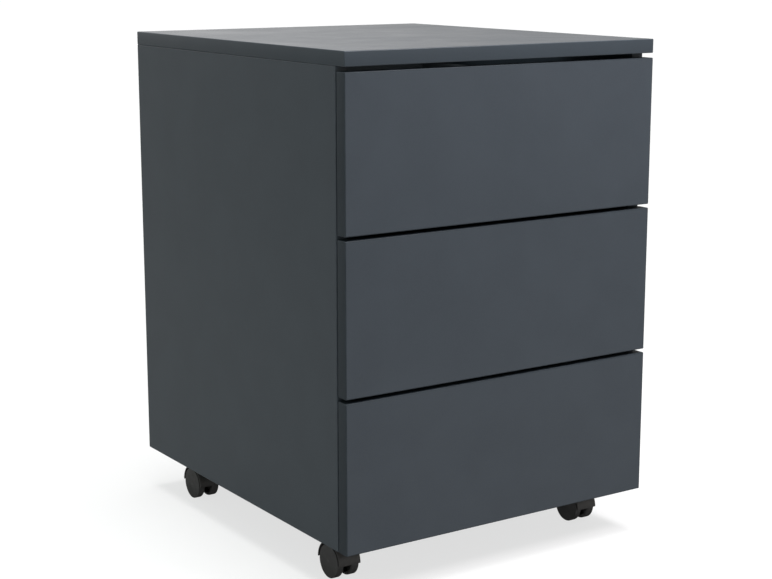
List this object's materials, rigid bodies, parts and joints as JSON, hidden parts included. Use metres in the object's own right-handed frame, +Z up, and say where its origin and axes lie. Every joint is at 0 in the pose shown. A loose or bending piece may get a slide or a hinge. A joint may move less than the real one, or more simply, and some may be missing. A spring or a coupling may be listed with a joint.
{
  "type": "rolling pedestal cabinet",
  "caption": "Low rolling cabinet with stacked full-width handleless drawers on roller slides, a flush top panel and hooded twin-wheel casters.",
  "frame": {"origin": "on the floor, under the middle of the body", "axes": "+Z up, -Y towards the drawer fronts, +X to the right of a person facing the fronts"},
  "size_m": [0.42, 0.485, 0.593],
  "materials": {
    "anthracite_laminate": "satin melamine-faced chipboard with matching edge band",
    "back_hardboard": "lacquered hardboard",
    "drawer_box_laminate": "matte paper-laminated chipboard",
    "drawer_bottom_board": "lacquered hardboard",
    "rail_steel": "powder-coated rolled steel",
    "nylon_roller": "moulded nylon",
    "cam_zinc": "die-cast zinc and plated steel",
    "screw_steel": "zinc-plated steel",
    "caster_plate_steel": "zinc-plated pressed steel",
    "caster_hood_plastic": "moulded black nylon",
    "caster_wheel_plastic": "moulded black nylon, satin",
    "axle_steel": "drawn steel"
  },
  "bodies": {
    "carcass": {"top_panel": "anthracite_laminate", "left_side_panel": "anthracite_laminate", "right_side_panel": "anthracite_laminate", "bottom_panel": "anthracite_laminate", "back_panel": "back_hardboard", "left_cabinet_rails": "rail_steel", "right_cabinet_rails": "rail_steel", "carcass_cam_fittings": "cam_zinc", "chipboard_screws": "screw_steel", "caster_plates": "caster_plate_steel"},
    "bottom_drawer": {"bottom_drawer_front": "anthracite_laminate", "bottom_drawer_left_side": "drawer_box_laminate", "bottom_drawer_right_side": "drawer_box_laminate", "bottom_drawer_back": "drawer_box_laminate", "bottom_drawer_bottom": "drawer_bottom_board", "bottom_drawer_left_rail": "rail_steel", "bottom_drawer_right_rail": "rail_steel", "bottom_drawer_cam_fittings": "cam_zinc", "bottom_drawer_screws": "screw_steel"},
    "bottom_drawer_rollers": {"bottom_drawer_rollers": "nylon_roller"},
    "bottom_cabinet_rollers": {"bottom_cabinet_rollers": "nylon_roller"},
    "middle_drawer": {"middle_drawer_front": "anthracite_laminate", "middle_drawer_left_side": "drawer_box_laminate", "middle_drawer_right_side": "drawer_box_laminate", "middle_drawer_back": "drawer_box_laminate", "middle_drawer_bottom": "drawer_bottom_board", "middle_drawer_left_rail": "rail_steel", "middle_drawer_right_rail": "rail_steel", "middle_drawer_cam_fittings": "cam_zinc", "middle_drawer_screws": "screw_steel"},
    "middle_drawer_rollers": {"middle_drawer_rollers": "nylon_roller"},
    "middle_cabinet_rollers": {"middle_cabinet_rollers": "nylon_roller"},
    "top_drawer": {"top_drawer_front": "anthracite_laminate", "top_drawer_left_side": "drawer_box_laminate", "top_drawer_right_side": "drawer_box_laminate", "top_drawer_back": "drawer_box_laminate", "top_drawer_bottom": "drawer_bottom_board", "top_drawer_left_rail": "rail_steel", "top_drawer_right_rail": "rail_steel", "top_drawer_cam_fittings": "cam_zinc", "top_drawer_screws": "screw_steel"},
    "top_drawer_rollers": {"top_drawer_rollers": "nylon_roller"},
    "top_cabinet_rollers": {"top_cabinet_rollers": "nylon_roller"},
    "front_left_swivel": {"front_left_caster_hood": "caster_hood_plastic", "front_left_caster_axle": "axle_steel"},
    "front_left_outer_wheel": {"front_left_outer_wheel": "caster_wheel_plastic"},
    "front_left_inner_wheel": {"front_left_inner_wheel": "caster_wheel_plastic"},
    "front_right_swivel": {"front_right_caster_hood": "caster_hood_plastic", "front_right_caster_axle": "axle_steel"},
    "front_right_outer_wheel": {"front_right_outer_wheel": "caster_wheel_plastic"},
    "front_right_inner_wheel": {"front_right_inner_wheel": "caster_wheel_plastic"},
    "rear_left_swivel": {"rear_left_caster_hood": "caster_hood_plastic", "rear_left_caster_axle": "axle_steel"},
    "rear_left_outer_wheel": {"rear_left_outer_wheel": "caster_wheel_plastic"},
    "rear_left_inner_wheel": {"rear_left_inner_wheel": "caster_wheel_plastic"},
    "rear_right_swivel": {"rear_right_caster_hood": "caster_hood_plastic", "rear_right_caster_axle": "axle_steel"},
    "rear_right_outer_wheel": {"rear_right_outer_wheel": "caster_wheel_plastic"},
    "rear_right_inner_wheel": {"rear_right_inner_wheel": "caster_wheel_plastic"}
  },
  "joints": [
    {"name": "bottom_drawer_slide", "type": "slide", "parent": "carcass", "child": "bottom_drawer", "axis": [0, -1, 0], "range_m": [0, 0.3]},
    {"name": "bottom_cabinet_rollers_turn", "type": "hinge", "parent": "carcass", "child": "bottom_cabinet_rollers", "pos_m": [0, -0.2105, 0.0887], "axis": [1, 0, 0], "continuous": true},
    {"name": "bottom_drawer_rollers_turn", "type": "hinge", "parent": "bottom_drawer", "child": "bottom_drawer_rollers", "pos_m": [0, 0.1655, 0.0893], "axis": [1, 0, 0], "continuous": true},
    {"name": "middle_drawer_slide", "type": "slide", "parent": "carcass", "child": "middle_drawer", "axis": [0, -1, 0], "range_m": [0, 0.3]},
    {"name": "middle_cabinet_rollers_turn", "type": "hinge", "parent": "carcass", "child": "middle_cabinet_rollers", "pos_m": [0, -0.2105, 0.26303], "axis": [1, 0, 0], "continuous": true},
    {"name": "middle_drawer_rollers_turn", "type": "hinge", "parent": "middle_drawer", "child": "middle_drawer_rollers", "pos_m": [0, 0.1655, 0.26363], "axis": [1, 0, 0], "continuous": true},
    {"name": "top_drawer_slide", "type": "slide", "parent": "carcass", "child": "top_drawer", "axis": [0, -1, 0], "range_m": [0, 0.3]},
    {"name": "top_cabinet_rollers_turn", "type": "hinge", "parent": "carcass", "child": "top_cabinet_rollers", "pos_m": [0, -0.2105, 0.43737], "axis": [1, 0, 0], "continuous": true},
    {"name": "top_drawer_rollers_turn", "type": "hinge", "parent": "top_drawer", "child": "top_drawer_rollers", "pos_m": [0, 0.1655, 0.43797], "axis": [1, 0, 0], "continuous": true},
    {"name": "front_left_swivel_turn", "type": "hinge", "parent": "carcass", "child": "front_left_swivel", "pos_m": [-0.1727, -0.177, 0.045], "axis": [0, 0, 1], "continuous": true},
    {"name": "front_left_outer_wheel_spin", "type": "hinge", "parent": "front_left_swivel", "child": "front_left_outer_wheel", "pos_m": [-0.1727, -0.167, 0.01925], "axis": [1, 0, 0], "continuous": true},
    {"name": "front_left_inner_wheel_spin", "type": "hinge", "parent": "front_left_swivel", "child": "front_left_inner_wheel", "pos_m": [-0.1727, -0.167, 0.01925], "axis": [1, 0, 0], "continuous": true},
    {"name": "front_right_swivel_turn", "type": "hinge", "parent": "carcass", "child": "front_right_swivel", "pos_m": [0.1727, -0.177, 0.045], "axis": [0, 0, 1], "continuous": true},
    {"name": "front_right_outer_wheel_spin", "type": "hinge", "parent": "front_right_swivel", "child": "front_right_outer_wheel", "pos_m": [0.1727, -0.167, 0.01925], "axis": [1, 0, 0], "continuous": true},
    {"name": "front_right_inner_wheel_spin", "type": "hinge", "parent": "front_right_swivel", "child": "front_right_inner_wheel", "pos_m": [0.1727, -0.167, 0.01925], "axis": [1, 0, 0], "continuous": true},
    {"name": "rear_left_swivel_turn", "type": "hinge", "parent": "carcass", "child": "rear_left_swivel", "pos_m": [-0.1727, 0.177, 0.045], "axis": [0, 0, 1], "continuous": true},
    {"name": "rear_left_outer_wheel_spin", "type": "hinge", "parent": "rear_left_swivel", "child": "rear_left_outer_wheel", "pos_m": [-0.1727, 0.167, 0.01925], "axis": [1, 0, 0], "continuous": true},
    {"name": "rear_left_inner_wheel_spin", "type": "hinge", "parent": "rear_left_swivel", "child": "rear_left_inner_wheel", "pos_m": [-0.1727, 0.167, 0.01925], "axis": [1, 0, 0], "continuous": true},
    {"name": "rear_right_swivel_turn", "type": "hinge", "parent": "carcass", "child": "rear_right_swivel", "pos_m": [0.1727, 0.177, 0.045], "axis": [0, 0, 1], "continuous": true},
    {"name": "rear_right_outer_wheel_spin", "type": "hinge", "parent": "rear_right_swivel", "child": "rear_right_outer_wheel", "pos_m": [0.1727, 0.167, 0.01925], "axis": [1, 0, 0], "continuous": true},
    {"name": "rear_right_inner_wheel_spin", "type": "hinge", "parent": "rear_right_swivel", "child": "rear_right_inner_wheel", "pos_m": [0.1727, 0.167, 0.01925], "axis": [1, 0, 0], "continuous": true}
  ],
  "couplings": [
    {"joint": "bottom_cabinet_rollers_turn", "follows": "bottom_drawer_slide", "rad_per_m": 142.86},
    {"joint": "bottom_drawer_rollers_turn", "follows": "bottom_drawer_slide", "rad_per_m": 125},
    {"joint": "middle_cabinet_rollers_turn", "follows": "middle_drawer_slide", "rad_per_m": 142.86},
    {"joint": "middle_drawer_rollers_turn", "follows": "middle_drawer_slide", "rad_per_m": 125},
    {"joint": "top_cabinet_rollers_turn", "follows": "top_drawer_slide", "rad_per_m": 142.86},
    {"joint": "top_drawer_rollers_turn", "follows": "top_drawer_slide", "rad_per_m": 125}
  ]
}
